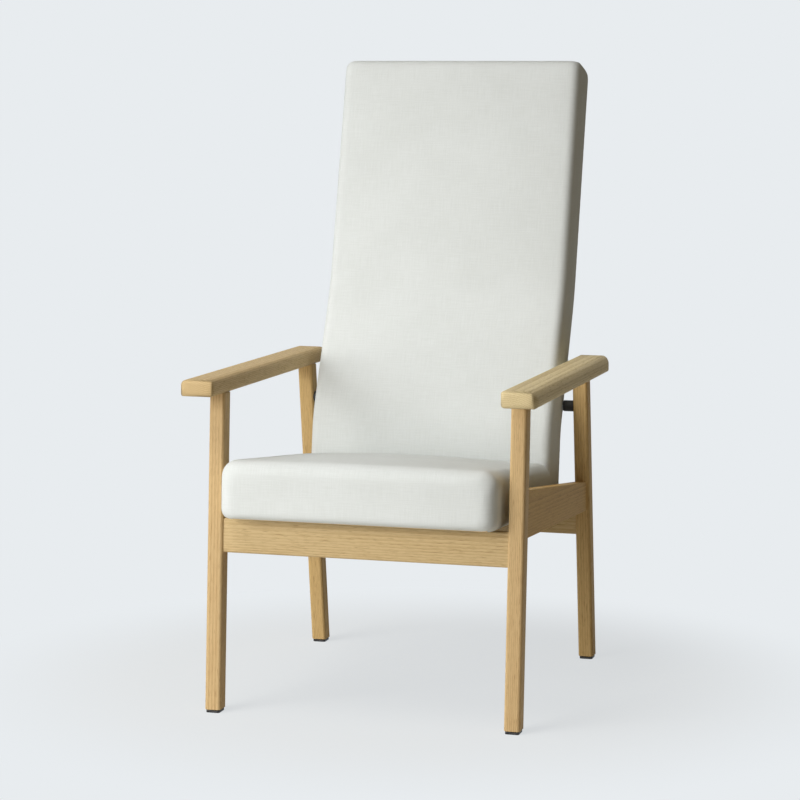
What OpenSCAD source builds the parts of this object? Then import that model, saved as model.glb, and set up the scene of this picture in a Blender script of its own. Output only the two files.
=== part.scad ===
// High-backed armchair with a solid oak frame, a lift-out upholstered seat and a tilting
// upholstered back. Millimetres, +Z up, the sitter faces -Y, left is the sitter's left (+X).
// The origin is on the floor, under the middle of the chair's bounding box.

/* [Frame] */
// Width over the legs
frame_w = 600; // [560:10:660]
// Seat plane to the top of the armrests
arm_over = 261; // [245:1:280]
// Front face of the front legs to front face of the rear legs, at the floor
foot_depth = 650; // [630:5:670]
// Lean of the front legs and slope of the seat, in degrees
seat_pitch = 3.4; // [2.5:0.1:4.5]
// Forward lean of the rear legs, in degrees
rear_rake = 9.1; // [8:0.1:10]

/* [Legs] */
// Width of a leg, side to side
leg_w = 30; // [28:1:36]
// Depth of a leg, front to back
leg_d = 35; // [33:1:40]
// Corner radius of a leg
leg_round = 6; // [4:1:9]
// Height of the plastic glide under each leg
glide_t = 6; // [4:1:10]

/* [Armrests] */
// Width of an armrest
arm_w = 68; // [60:1:74]
// Thickness of an armrest
arm_t = 32; // [28:1:36]
// How far an armrest reaches in front of its front leg
arm_front_over = 74; // [50:2:90]
// How far an armrest reaches behind its rear leg
arm_rear_over = 46; // [30:2:60]
// How far an armrest sits outward from the middle of its legs
arm_out = 15.5; // [10:0.5:20]

/* [Rails] */
// Height of the front and rear rails
rail_h = 64; // [56:2:72]
// Thickness of the front and rear rails and the bearers
rail_t = 22; // [18:1:26]
// Floor to the seat plane, measured along a front leg
seat_base_w = 364; // [352:2:376]
// Height of a side rail at the front leg
side_h = 88; // [76:2:96]
// Thickness of a side rail
side_t = 24; // [20:1:26]
// Taper of a side rail's top edge, in degrees
side_taper = 3.3; // [2:0.1:4.5]

/* [Seat] */
// Thickness of the seat cushion at the front
seat_front_t = 114; // [95:1:125]
// Thickness of the seat cushion at the rear
seat_rear_t = 84; // [70:1:95]
// Length of the seat cushion
seat_l = 478; // [450:1:484]
// Plywood board in the seat
board_t = 12; // [9:1:15]

/* [Back] */
// Gap between the back and each rear leg
back_gap = 20; // [17:1:30]
// Thickness of the back
back_t = 96; // [90:1:104]
// Length of the back along its front face
back_l = 910; // [840:1:920]
// Lean of the lowest part of the back, in degrees
low_angle = 7.5; // [6:0.5:12]
// Lean of the middle of the back, in degrees
mid_angle = 24.5; // [21:0.5:26]
// Lean of the upper part of the back, in degrees
top_angle = 14; // [11:0.5:16]
// Forward tilt of the back from its rest against the slots' ends, in degrees
tilt_angle = 8; // [4:1:9]

/* [Fittings] */
// Diameter of the wooden dowels
dowel_d = 8; // [6:1:10]
// Diameter of the pivot bolts
bolt_d = 8; // [6:1:10]
// Diameter of the spacer bushes on the pivot bolts
bush_d = 22; // [18:1:24]
// Diameter of the sleeves on the lower guide pins
sleeve_d = 12; // [10:1:14]

/* [Hidden] */

// Colours
wood_colour = "#c8a676";
fabric_colour = "#dcdcd6";
foam_colour = "#e6dfb8";
ply_colour = "#d8bb88";
black_colour = "#1c1c1c";
steel_colour = "#9a9a9a";
felt_colour = "#2a2a2a";

// Clearances and small sizes
rest_gap = 0.3;        // between a seated piece and what carries it
run_gap = 0.05;        // radial, on a turning bore
fit_gap = 0.1;         // radial, between a wooden peg and its hole
cut_over = 1;          // overrun of a cut past a face
round_fn = 48;
rail_round = 4;
arm_round = 10;        // an armrest's long edges
arm_crown = 20;        // its upper outer edge
arm_end_round = 10;    // its upper and lower edges at the ends
arm_corner = 12;       // its inner corners in plan
arm_nose = 20;         // its outer corner in front
arm_tail = 34;         // its outer corner at the rear
tenon_d = 18;
tenon_l = 16;
tenon_gap = 0.15;

// The pitched frame: u runs back along the seat, w runs up along a front leg
sp = sin(seat_pitch);
cp = cos(seat_pitch);
kr = tan(rear_rake);
inner_x = frame_w / 2 - leg_w;
// Height above the floor of a point in that frame
function z_of(u, w) = w * cp - u * sp;
// u of the front face of the rear legs at height w
function rear_face_u(w) = (foot_depth - w * (sp + cp * kr)) / (cp - sp * kr);

// Armrests
arm_top_z = seat_base_w + arm_over;
arm_z = arm_top_z - arm_t;
front_top_y = arm_top_z * tan(seat_pitch);
rear_top_y = foot_depth - arm_top_z * kr;
arm_front_y = front_top_y - arm_front_over;
arm_rear_y = rear_top_y + leg_d / cos(rear_rake) + arm_rear_over;
arm_mid_x = frame_w / 2 - leg_w / 2 + arm_out;

// Rails
rail_set = 5;          // the front rail's face lies this far behind the legs' faces
front_rail_w = seat_base_w - rail_h;
side_drop = 14;        // a side rail's lower edge below the seat plane
side_low_w = seat_base_w - side_drop;
side_high_w = side_low_w + side_h;
taper = tan(side_taper);
function side_top_w(u) = side_high_w - (u - leg_d) * taper;
// u where the side rail's top line meets the rear leg
rear_a = rear_face_u(0);
rear_b = rear_a - rear_face_u(1);
side_end_u = (rear_a - rear_b * (side_high_w + leg_d * taper)) / (1 - rear_b * taper);
// Rear rail, in the raked frame of the rear legs: v runs back, t runs up along the leg
rear_rail_v = (leg_d - rail_t) / 2;
rear_rail_lift = (z_of(rear_face_u(seat_base_w), seat_base_w) - rail_set) / cos(rear_rake);
rear_rail_low = rear_rail_lift - rail_h;
// Seat bearers
bearer_in = 90;         // from a leg's inner face to the bearer's middle
bearer_x = inner_x - bearer_in;
bearer_h = 44;
bearer_step = 12;      // the bearers' drop behind the seat, under the back

// Pivots, in the rear legs; the back hangs from them
pivot_over = 197.8;    // above the place where the seat plane meets the rear legs
pivot_ahead = 5.3;     // ahead of the leg's middle
pivot_z = z_of(rear_face_u(seat_base_w), seat_base_w) + pivot_over;
pivot_y = foot_depth - pivot_z * kr + leg_d / cos(rear_rake) / 2 - pivot_ahead;
// The lower end of the back's front face
back_ahead = 124;
back_drop = 182;
back_low_y = pivot_y - back_ahead;
back_low_z = pivot_z - back_drop;
back_w = 2 * (inner_x - back_gap);
// Guide pins
guide_ahead = 45;
guide_drop = 168;
guide_y = pivot_y - guide_ahead;
guide_z = pivot_z - guide_drop;

// Dowels
dowel_l = 36;
dowel_room = 1;
rail_dowel_off = 17;
side_dowel_share = 0.27;
side_dowel_w1 = side_low_w + side_h * side_dowel_share;
side_dowel_w2 = side_low_w + side_h * (1 - side_dowel_share);
rear_dowel_gap = 26;

// Seat
seat_gap_x = 3.5;      // from the cushion's widest point to the legs
seat_half_w = inner_x - seat_gap_x;
seat_gap_u = 0.3;      // from the cushion's rear end to the back's lower end
seat_rear_u = back_low_y * cp - back_low_z * sp + seat_gap_u;
seat_front_u = seat_rear_u - seat_l;
seat_low_w = seat_base_w + rest_gap;
seat_skin = 2;         // the fabric under the board
seat_wad = 12;         // wadding and fabric over the foam and at its ends
seat_side_wad = 26;    // wadding and fabric at its sides
seat_crown = 12;       // rise of the cushion's top in the middle
seat_top_r = 30;       // radius of the cushion's upper edges
seat_low_r = 14;       // radius of its lower edges
seat_front_r = 30;     // radius of its front edges
seat_rear_r = 22;      // radius of its rear edges
seat_low_share = 0.4;  // part of an end's radius by which its lower edge rises
seat_plan_share = 0.6; // part of an end's radius by which its sides draw in
seat_belly = 1;        // how far the sides swell between the seams
core_half_w = seat_half_w - seat_side_wad - seat_belly;
core_front_u = seat_front_u + seat_wad + seat_belly;
core_rear_u = seat_rear_u - seat_wad - seat_belly;
board_low_w = seat_low_w + seat_skin;
core_low_w = board_low_w + board_t + rest_gap;
dust_margin = 28;
dust_t = 1;
vent_d = 24;
vent_step_x = 96;
vent_step_u = 84;
peg_d = 10;
peg_l = 26;
peg_room = 1;
peg_front = 343;       // from the cushion's rear end to the front pegs
peg_rear = 63;         // and to the rear pegs

// Back: its front face is a bent line, and depth d runs square to it towards the rear
bend_low = 160;        // from the lower end of the back to the middle of its lumbar bend
bend_high = 443;       // from the lower end to the middle of its shoulder bend
bend_run = 90;         // length of each bend
back_steps = 44;
back_wall = 6;         // cover and wadding at the sides
hollow_end = 16;       // cover and wadding at the upper and lower ends
back_crown = 6;        // rise of the front in the middle
back_front_r = 20;     // radius of the back's front edges
back_rear_r = 6;       // radius of its rear edges
back_end_r = 22;       // radius of its upper and lower edges
back_plan_share = 0.45; // part of that radius by which its sides draw in at the ends
back_belly = 2;        // how far the sides swell
front_wad = 10;
rear_skin = 3;
foam_t = 46;
panel_t = 4;
stile_w = 40;
insert_d = 14;
insert_l = 30;
flange_d = 20;
flange_t = 1.5;
bolt_short = 2;        // from the insert's inner end to the bolt's end
pin_d = 8;
slot_depth = 14;
pin_short = 2;         // from the guide pin's end to the slot's floor
slot_gap = 0.3;
head_d = 13;
head_t = 5;
plug_t = 5;
plug_d = 16;

function smooth(t) = t <= 0 ? 0 : t >= 1 ? 1 : t * t * (3 - 2 * t);
// Lean of the back's front face at length s from its lower end
function lean_at(s) =
    low_angle
    + (mid_angle - low_angle) * smooth((s - bend_low + bend_run / 2) / bend_run)
    + (top_angle - mid_angle) * smooth((s - bend_high + bend_run / 2) / bend_run);
back_ds = back_l / back_steps;
last_step = back_steps - 0.001;
spine = [for (i = 0, y = back_low_y, z = back_low_z; i <= back_steps;
    y = y + back_ds * sin(lean_at((i + 0.5) * back_ds)),
    z = z + back_ds * cos(lean_at((i + 0.5) * back_ds)),
    i = i + 1) [y, z, lean_at(i * back_ds)]];
// Point at length s along the front face and depth d behind it
function spine_at(s, d) =
    let (f = min(last_step, max(0, s / back_ds)), i = floor(f), t = f - i,
        p = spine[i] * (1 - t) + spine[i + 1] * t)
    [p[0] + d * cos(p[2]), p[1] - d * sin(p[2])];
// The bounding box reaches from the armrests' front ends to the back's rounded upper rear edge
back_rear_y = spine_at(back_l - back_end_r, back_t - back_end_r)[0] + back_end_r;
front_y = min(arm_front_y, seat_front_u * cp + seat_low_w * sp);
y_mid = (front_y + back_rear_y) / 2;

// Shared shapes
module rounded_rect(w, d, r) {
    square([w - 2 * r, d], center = true);
    square([w, d - 2 * r], center = true);
    for (x = [-1, 1], y = [-1, 1])
        translate([x * (w / 2 - r), y * (d / 2 - r)])
            circle(r, $fn = round_fn);
}

module to_origin() translate([0, -y_mid, 0]) children();
module pitched() rotate([-seat_pitch, 0, 0]) children();
module raked() translate([0, foot_depth, 0]) rotate([rear_rake, 0, 0]) children();
module on_side(side) mirror([side < 0 ? 1 : 0, 0, 0]) children();
// A rod along X
module rod_x(d, x0, x1) translate([x0, 0, 0]) rotate([0, 90, 0])
    cylinder(d = d, h = x1 - x0, $fn = round_fn);
// A rod along Y
module rod_y(d, y0, y1) translate([0, y0, 0]) rotate([-90, 0, 0])
    cylinder(d = d, h = y1 - y0, $fn = round_fn);

// Dowels of the side that its sign gives; grow widens and lengthens them into holes
module front_rail_dowels(grow, room) pitched()
    for (dw = [-1, 1])
        translate([0, rail_set + rail_t / 2, front_rail_w + rail_h / 2 + dw * rail_dowel_off])
            rod_x(dowel_d + 2 * grow, inner_x - dowel_l / 2 - room, inner_x + dowel_l / 2 + room);

module rear_rail_dowels(grow, room) raked()
    for (dw = [-1, 1])
        translate([0, leg_d / 2, rear_rail_low + rail_h / 2 + dw * rail_dowel_off])
            rod_x(dowel_d + 2 * grow, inner_x - dowel_l / 2 - room, inner_x + dowel_l / 2 + room);

module side_front_dowels(grow, room) pitched()
    for (w = [side_dowel_w1, side_dowel_w2])
        translate([inner_x + side_t / 2, 0, w])
            rod_y(dowel_d + 2 * grow, leg_d - dowel_l / 2 - room, leg_d + dowel_l / 2 + room);

// Height along the rear leg of the middle of the side rail's rear end
side_end_mid_w = (side_low_w + side_top_w(side_end_u)) / 2;
side_end_t = z_of(rear_face_u(side_end_mid_w), side_end_mid_w) / cos(rear_rake);
module side_rear_dowels(grow, room) raked()
    for (dw = [-1, 1])
        translate([inner_x + side_t / 2, 0, side_end_t + dw * rear_dowel_gap / 2])
            rod_y(dowel_d + 2 * grow, -dowel_l / 2 - room, dowel_l / 2 + room);

module bearer_front_dowels(grow, room) pitched()
    translate([bearer_x, 0, seat_base_w - bearer_h / 2])
        rod_y(dowel_d + 2 * grow,
            rail_set + rail_t - dowel_l / 3 - room, rail_set + rail_t + dowel_l / 2 + room);

// Legs
module leg_bar(len) translate([0, leg_d / 2, 0]) linear_extrude(len) rounded_rect(leg_w, leg_d, leg_round);

module tenon_front(grow, room)
    translate([frame_w / 2 - leg_w / 2, 0, 0]) pitched()
        translate([0, leg_d / 2, arm_z / cp - leg_d])
            cylinder(d = tenon_d + 2 * grow, h = leg_d + tenon_l + room, $fn = round_fn);

module tenon_rear(grow, room)
    translate([frame_w / 2 - leg_w / 2, 0, 0]) raked()
        translate([0, leg_d / 2, arm_z / cos(rear_rake) - leg_d])
            cylinder(d = tenon_d + 2 * grow, h = leg_d + tenon_l + room, $fn = round_fn);

// Everything between the glide and the armrest's underside
module leg_span() translate([-frame_w, -foot_depth, glide_t])
    cube([2 * frame_w, 3 * foot_depth, arm_z - glide_t]);

module glide_pin_hole(y) translate([frame_w / 2 - leg_w / 2, y, 0])
    cylinder(d = glide_pin_d + 2 * fit_gap, h = glide_t + glide_pin_l + dowel_room, $fn = round_fn);

module front_leg(side) to_origin() on_side(side) color(wood_colour)
    difference() {
        union() {
            intersection() {
                translate([frame_w / 2 - leg_w / 2, 0, 0]) pitched()
                    translate([0, 0, -leg_d]) leg_bar(arm_top_z + 2 * leg_d);
                leg_span();
            }
            tenon_front(0, 0);
        }
        front_rail_dowels(fit_gap, dowel_room);
        side_front_dowels(fit_gap, dowel_room);
        glide_pin_hole(glide_front_y);
    }

module rear_leg(side) to_origin() on_side(side) color(wood_colour)
    difference() {
        union() {
            intersection() {
                translate([frame_w / 2 - leg_w / 2, 0, 0]) raked()
                    translate([0, 0, -leg_d]) leg_bar(arm_top_z + 3 * leg_d);
                leg_span();
            }
            tenon_rear(0, 0);
        }
        rear_rail_dowels(fit_gap, dowel_room);
        side_rear_dowels(fit_gap, dowel_room);
        glide_pin_hole(glide_rear_y);
        translate([0, pivot_y, pivot_z]) {
            rod_x(bolt_d + 2 * run_gap, inner_x - cut_over, frame_w / 2 + cut_over);
            rod_x(plug_d + 2 * fit_gap, frame_w / 2 - plug_t - head_t, frame_w / 2 + cut_over);
        }
    }

// Glides
glide_inset = 2;
glide_pin_d = 5;
glide_pin_l = 14;
glide_front_y = glide_t * tan(seat_pitch) / 2 + leg_d / cp / 2;
glide_rear_y = foot_depth - glide_t * kr / 2 + leg_d / cos(rear_rake) / 2;
module glide(side, y) to_origin() on_side(side) color(felt_colour)
    translate([frame_w / 2 - leg_w / 2, y, 0]) {
        linear_extrude(glide_t)
            rounded_rect(leg_w - 2 * glide_inset, leg_d - 2 * glide_inset, leg_round - glide_inset);
        cylinder(d = glide_pin_d, h = glide_t + glide_pin_l, $fn = round_fn);
    }

// Armrests: a board rounded in plan, in section and at its ends
arm_l = arm_rear_y - arm_front_y;
module armrest(side) to_origin() on_side(side) color(wood_colour)
    difference() {
        translate([arm_mid_x, arm_front_y + arm_l / 2, arm_z + arm_t / 2]) intersection() {
            translate([0, 0, -arm_t / 2]) linear_extrude(arm_t) arm_plan();
            translate([0, -arm_l / 2 - cut_over, 0]) rotate([-90, 0, 0])
                linear_extrude(arm_l + 2 * cut_over) arm_section();
            translate([-arm_w, 0, 0]) rotate([90, 0, 90]) linear_extrude(2 * arm_w)
                rounded_rect(arm_l, arm_t, arm_end_round);
        }
        tenon_front(tenon_gap, dowel_room);
        tenon_rear(tenon_gap, dowel_room);
    }

// Rounds the corner of a rectangle w by d that lies towards +x and +y
module corner_cut(w, d, r) translate([w / 2 - r, d / 2 - r]) difference() {
    square(r + cut_over);
    circle(r, $fn = round_fn);
}

module arm_plan() difference() {
    rounded_rect(arm_w, arm_l, arm_corner);
    corner_cut(arm_w, arm_l, arm_tail);
    mirror([0, 1]) corner_cut(arm_w, arm_l, arm_nose);
}

// The section stands on its head here, because the extrusion turns it over
module arm_section() difference() {
    rounded_rect(arm_w, arm_t, arm_round);
    mirror([0, 1]) corner_cut(arm_w, arm_t, arm_crown);
}

// Rails
module front_rail() to_origin() color(wood_colour)
    difference() {
        pitched() translate([0, rail_set + rail_t / 2, front_rail_w + rail_h / 2]) rotate([90, 0, 90])
            translate([0, 0, -inner_x]) linear_extrude(2 * inner_x) rounded_rect(rail_t, rail_h, rail_round);
        for (side = [-1, 1]) on_side(side) {
            front_rail_dowels(fit_gap, dowel_room);
            bearer_front_dowels(fit_gap, dowel_room);
        }
    }

module rear_rail() to_origin() color(wood_colour)
    difference() {
        raked() translate([0, leg_d / 2, rear_rail_low + rail_h / 2]) rotate([90, 0, 90])
            translate([0, 0, -inner_x]) linear_extrude(2 * inner_x) rounded_rect(rail_t, rail_h, rail_round);
        for (side = [-1, 1]) on_side(side) {
            rear_rail_dowels(fit_gap, dowel_room);
            bearer_rear_dowels(fit_gap, dowel_room);
        }
    }

// A side rail: a tapered board, with a blind curved slot for the back's guide pin
module side_rail(side) to_origin() on_side(side) color(wood_colour)
    difference() {
        pitched() translate([inner_x, 0, 0]) rotate([90, 0, 90]) linear_extrude(side_t)
            polygon([[leg_d, side_low_w], [rear_face_u(side_low_w), side_low_w],
                [side_end_u, side_top_w(side_end_u)], [leg_d, side_high_w]]);
        side_front_dowels(fit_gap, dowel_room);
        side_rear_dowels(fit_gap, dowel_room);
        guide_slot();
    }

// The slot follows an arc round the pivot, from the rest position to the forward tilt
guide_r = norm([guide_y - pivot_y, guide_z - pivot_z]);
guide_a = atan2(guide_z - pivot_z, guide_y - pivot_y);
slot_half = sleeve_d / 2 + slot_gap;
slot_steps = 12;
function slot_arc(r, from, to) = [for (k = [0:slot_steps])
    let (a = from + (to - from) * k / slot_steps) [r * cos(a), r * sin(a)]];
function slot_end(at, from) = [for (k = [1:slot_steps - 1])
    let (a = from + 180 * k / slot_steps)
    [guide_r * cos(at) + slot_half * cos(a), guide_r * sin(at) + slot_half * sin(a)]];
module guide_slot() translate([inner_x - cut_over, pivot_y, pivot_z]) rotate([90, 0, 90])
    linear_extrude(slot_depth + cut_over) rotate([0, 0, guide_a])
        polygon(concat(
            slot_arc(guide_r + slot_half, 0, tilt_angle), slot_end(tilt_angle, tilt_angle),
            slot_arc(guide_r - slot_half, tilt_angle, 0), slot_end(0, 180)));

// Seat bearers run from the front rail to the rear rail under the seat
module seat_bearer(side) to_origin() on_side(side) color(wood_colour)
    difference() {
        intersection() {
            pitched() translate([bearer_x - rail_t / 2, rail_set + rail_t, seat_base_w - bearer_h])
                cube([rail_t, foot_depth, bearer_h]);
            raked() translate([0, rear_rail_v - foot_depth, 0]) cube([frame_w, foot_depth, arm_top_z]);
        }
        pitched() translate([0, seat_rear_u, seat_base_w - bearer_step])
            cube([frame_w, foot_depth, bearer_h]);
        bearer_front_dowels(fit_gap, dowel_room);
        bearer_rear_dowels(fit_gap, dowel_room);
        pegs(peg_room / 2, peg_room);
    }

// Height along the rear leg of a bearer's rear end
bearer_end_w = seat_base_w - (bearer_h + bearer_step) / 2;
bearer_end_t = z_of(rear_face_u(bearer_end_w), bearer_end_w) / cos(rear_rake);
module bearer_rear_dowels(grow, room) raked()
    translate([bearer_x, 0, bearer_end_t])
        rod_y(dowel_d + 2 * grow, rear_rail_v - dowel_l / 2 - room, rear_rail_v + dowel_l / 3 + room);

module rail_dowels() to_origin() color(ply_colour)
    for (side = [-1, 1]) on_side(side) {
        front_rail_dowels(0, 0);
        rear_rail_dowels(0, 0);
        side_front_dowels(0, 0);
        side_rear_dowels(0, 0);
        bearer_front_dowels(0, 0);
        bearer_rear_dowels(0, 0);
    }

// A closed skin through rings of points, each ring with the same count, ends closed flat
module skin(rings) {
    n = len(rings[0]);
    m = len(rings);
    points = [for (r = rings) for (p = r) p];
    sides = [for (j = [0:m - 2]) for (i = [0:n - 1])
        let (a = j * n + i, b = j * n + (i + 1) % n)
        each [[a, b, b + n], [a, b + n, a + n]]];
    low_end = [for (i = [1:n - 2]) [0, i + 1, i]];
    high_end = [for (i = [1:n - 2]) [(m - 1) * n, (m - 1) * n + i, (m - 1) * n + i + 1]];
    polyhedron(points = points, faces = concat(sides, low_end, high_end));
}

// Outline of a padded section: half width b, from low to high, with two corner radii, its
// upper side crowned by rise and its flanks swollen by belly, as [across, up] points
arc_steps = 5;
crown_steps = 8;
function arc_points(x, y, r, from) =
    [for (k = [0:arc_steps])
        let (a = from + 90 * k / arc_steps) [x + r * cos(a), y + r * sin(a)]];
function padded_ring(b, low, high, r_low, r_high, rise, belly) =
    let (flat = b - r_high, mid = (low + high) / 2)
    concat(
        [[b + belly, mid]],
        arc_points(flat, high - r_high, r_high, 0),
        [for (k = [1:crown_steps - 1])
            let (x = flat * (1 - 2 * k / crown_steps)) [x, high + rise * (1 - pow(x / flat, 2))]],
        arc_points(-flat, high - r_high, r_high, 90),
        [[-b - belly, mid]],
        arc_points(-b + r_low, low + r_low, r_low, 180),
        [[0, low]],
        arc_points(b - r_low, low + r_low, r_low, 270));

// Stations along a padded form of length l with end radii r0 and r1: dense over the round ends
end_steps = 4;
end_share = 0.35;
function stations(l, r0, r1, count) = concat(
    [for (k = [0:end_steps - 1]) r0 * (1 - cos(90 * (k + end_share) / end_steps))],
    [for (k = [0:count]) r0 + (l - r0 - r1) * k / count],
    [for (k = [end_steps - 1:-1:0]) l - r1 * (1 - cos(90 * (k + end_share) / end_steps))]);
// How far the round ends draw the section in at place s of length l
function round_off(k, r) = k >= 1 ? 0 : r * (1 - sqrt(1 - pow(1 - k, 2)));
function draw_in(s, l, r0, r1) = round_off(s / r0, r0) + round_off((l - s) / r1, r1);

// Seat cushion: crowned on top, thicker at the front, its edges rounded
seat_count = 8;
function seat_ring(s) =
    let (t = s / seat_l,
        thick = seat_front_t + (seat_rear_t - seat_front_t) * t,
        e = draw_in(s, seat_l, seat_front_r, seat_rear_r),
        swell = 1 - pow(2 * t - 1, 2))
    [for (p = padded_ring(seat_half_w - seat_belly - e * seat_plan_share, seat_low_w + e * seat_low_share,
        seat_low_w + thick - e, seat_low_r, seat_top_r, seat_crown * swell, seat_belly * swell))
        [p[0], seat_front_u + s, p[1]]];

module seat_form() pitched()
    skin([for (s = stations(seat_l, seat_front_r, seat_rear_r, seat_count)) seat_ring(s)]);

// Foam core and board share one hollow in the cover
function core_top_w(u) =
    seat_low_w + seat_front_t + (seat_rear_t - seat_front_t) * (u - seat_front_u) / seat_l - seat_wad;
module core_profile(low_w, gap) rotate([90, 0, 90]) translate([0, 0, -core_half_w + gap])
    linear_extrude(2 * (core_half_w - gap))
        polygon([[core_front_u + gap, low_w + gap], [core_rear_u - gap, low_w + gap],
            [core_rear_u - gap, core_top_w(core_rear_u) - gap],
            [core_front_u + gap, core_top_w(core_front_u) - gap]]);

module dust_plan(gap) translate([0, (core_front_u + core_rear_u) / 2])
    square([2 * (core_half_w - dust_margin - gap), core_rear_u - core_front_u - 2 * (dust_margin + gap)],
        center = true);

module seat_cover() to_origin() color(fabric_colour)
    difference() {
        seat_form();
        pitched() {
            core_profile(board_low_w, 0);
            translate([0, 0, seat_low_w - cut_over]) linear_extrude(2 * cut_over + seat_skin) dust_plan(0);
        }
    }

module seat_foam() to_origin() color(foam_colour) pitched() core_profile(core_low_w, rest_gap);

module seat_board() to_origin() color(ply_colour)
    difference() {
        pitched() translate([0, (core_front_u + core_rear_u) / 2, board_low_w + board_t / 2 + rest_gap / 2])
            cube([2 * (core_half_w - rest_gap), core_rear_u - core_front_u - 2 * rest_gap,
                board_t - rest_gap], center = true);
        pitched() for (i = [-1:1], j = [-1:1])
            translate([i * vent_step_x, (core_front_u + core_rear_u) / 2 + j * vent_step_u,
                board_low_w - cut_over]) cylinder(d = vent_d, h = board_t + 2 * cut_over, $fn = round_fn);
        for (side = [-1, 1]) on_side(side) pegs(fit_gap, dowel_room);
    }

module seat_dust_cover() to_origin() color(felt_colour)
    difference() {
        pitched() translate([0, 0, board_low_w - dust_t - rest_gap / 2])
            linear_extrude(dust_t) dust_plan(rest_gap);
        for (side = [-1, 1]) on_side(side) pegs(fit_gap, dowel_room);
    }

// Locating pegs stand in the board and drop into the bearers
module pegs(grow, room) pitched()
    for (u = [seat_rear_u - peg_front, seat_rear_u - peg_rear])
        translate([bearer_x, u, seat_base_w - peg_l / 2 - room])
            cylinder(d = peg_d + 2 * grow, h = peg_l + 2 * room - board_t / 2, $fn = round_fn);

module seat_pegs() to_origin() color(ply_colour)
    for (side = [-1, 1]) on_side(side) pegs(0, 0);

// Back: a section at length s, square to the front face
back_count = 22;
function back_ring(s) =
    let (e = draw_in(s, back_l, back_end_r, back_end_r), swell = 1 - pow(2 * s / back_l - 1, 4))
    [for (p = padded_ring(back_w / 2 - back_belly - e * back_plan_share, e - back_t, -e,
        back_rear_r, back_front_r, back_crown * swell, back_belly * swell))
        let (q = spine_at(s, -p[1])) [p[0], q[0], q[1]]];

module back_form()
    skin([for (s = stations(back_l, back_end_r, back_end_r, back_count)) back_ring(s)]);

// A band of the back between two depths and two lengths, extruded from x0 to x1
band_steps = 24;
module band(s0, s1, d0, d1, x0, x1) translate([x0, 0, 0]) rotate([90, 0, 90]) linear_extrude(x1 - x0)
    polygon(concat(
        [for (i = [0:band_steps]) spine_at(s0 + (s1 - s0) * i / band_steps, d0)],
        [for (i = [band_steps:-1:0]) spine_at(s0 + (s1 - s0) * i / band_steps, d1)]));

hollow_half = back_w / 2 - back_wall - back_belly;
hollow_s0 = hollow_end;
hollow_s1 = back_l - hollow_end;
panel_d = front_wad + foam_t;
frame_d0 = panel_d + panel_t;
frame_d1 = back_t - rear_skin;

module back_cover() to_origin() color(fabric_colour)
    difference() {
        back_form();
        band(hollow_s0, hollow_s1, front_wad, frame_d1, -hollow_half, hollow_half);
        for (side = [-1, 1]) on_side(side) {
            insert_body(fit_gap);
            guide_rod(pin_d + 2 * fit_gap, hollow_half - cut_over, back_w / 2 + cut_over);
        }
    }

module back_foam() to_origin() color(foam_colour)
    band(hollow_s0 + rest_gap, hollow_s1 - rest_gap, front_wad + rest_gap, panel_d - rest_gap,
        -hollow_half + rest_gap, hollow_half - rest_gap);

module back_panel() to_origin() color(ply_colour)
    band(hollow_s0 + rest_gap, hollow_s1 - rest_gap, panel_d, frame_d0 - rest_gap / 2,
        -hollow_half + rest_gap, hollow_half - rest_gap);

module back_stile(side) to_origin() on_side(side) color(wood_colour)
    difference() {
        band(hollow_s0 + rest_gap, hollow_s1 - rest_gap, frame_d0, frame_d1 - rest_gap,
            hollow_half - stile_w, hollow_half - rest_gap);
        insert_body(0);
        guide_rod(pin_d, 0, back_w / 2);
    }

module back_cross(s0, s1) to_origin() color(wood_colour)
    band(s0, s1, frame_d0, frame_d1 - rest_gap, -hollow_half + stile_w, hollow_half - stile_w);
cross_h = 45;
lumbar_s = 205;
top_rail_s = hollow_s1 - rest_gap - cross_h;
bottom_rail_s = hollow_s0 + rest_gap;

// Pivots: a flanged steel insert in each stile, a bolt through the leg and a spacer bush between
module insert_body(grow) translate([0, pivot_y, pivot_z]) {
    rod_x(insert_d + 2 * grow, back_w / 2 - insert_l, back_w / 2);
    rod_x(flange_d + 2 * grow, back_w / 2 - flange_t, back_w / 2 + cut_over);
}

module pivot_insert(side) to_origin() on_side(side) color(steel_colour)
    difference() {
        intersection() {
            insert_body(0);
            cube([back_w, 4 * foot_depth, 4 * arm_top_z], center = true);
        }
        translate([0, pivot_y, pivot_z])
            rod_x(bolt_d, back_w / 2 - insert_l - cut_over, back_w / 2 + cut_over);
    }

module pivot_bolt(side) to_origin() on_side(side) color(steel_colour)
    translate([0, pivot_y, pivot_z]) {
        rod_x(bolt_d, back_w / 2 - insert_l + bolt_short, frame_w / 2 - plug_t - head_t + rest_gap);
        rod_x(head_d, frame_w / 2 - plug_t - head_t + rest_gap, frame_w / 2 - plug_t - rest_gap);
    }

module pivot_bush(side) to_origin() on_side(side) color(black_colour)
    translate([0, pivot_y, pivot_z]) difference() {
        rod_x(bush_d, back_w / 2, inner_x - rest_gap);
        rod_x(bolt_d, back_w / 2 - cut_over, inner_x + cut_over);
    }

module bolt_plug(side) to_origin() on_side(side) color(wood_colour)
    translate([0, pivot_y, pivot_z]) rod_x(plug_d, frame_w / 2 - plug_t, frame_w / 2);

// Guide pins stand out of the sides of the back, with a sleeve in the side rail's slot
module guide_rod(d, x0, x1) translate([0, guide_y, guide_z]) rod_x(d, x0, x1);
guide_end_x = inner_x + slot_depth - pin_short;
module guide_pin(side) to_origin() on_side(side) color(steel_colour)
    guide_rod(pin_d, hollow_half - stile_w / 2, guide_end_x);

module guide_sleeve(side) to_origin() on_side(side) color(black_colour)
    difference() {
        guide_rod(sleeve_d, back_w / 2 + rest_gap, guide_end_x);
        guide_rod(pin_d + 2 * run_gap, back_w / 2 - cut_over, guide_end_x + cut_over);
    }

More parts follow.
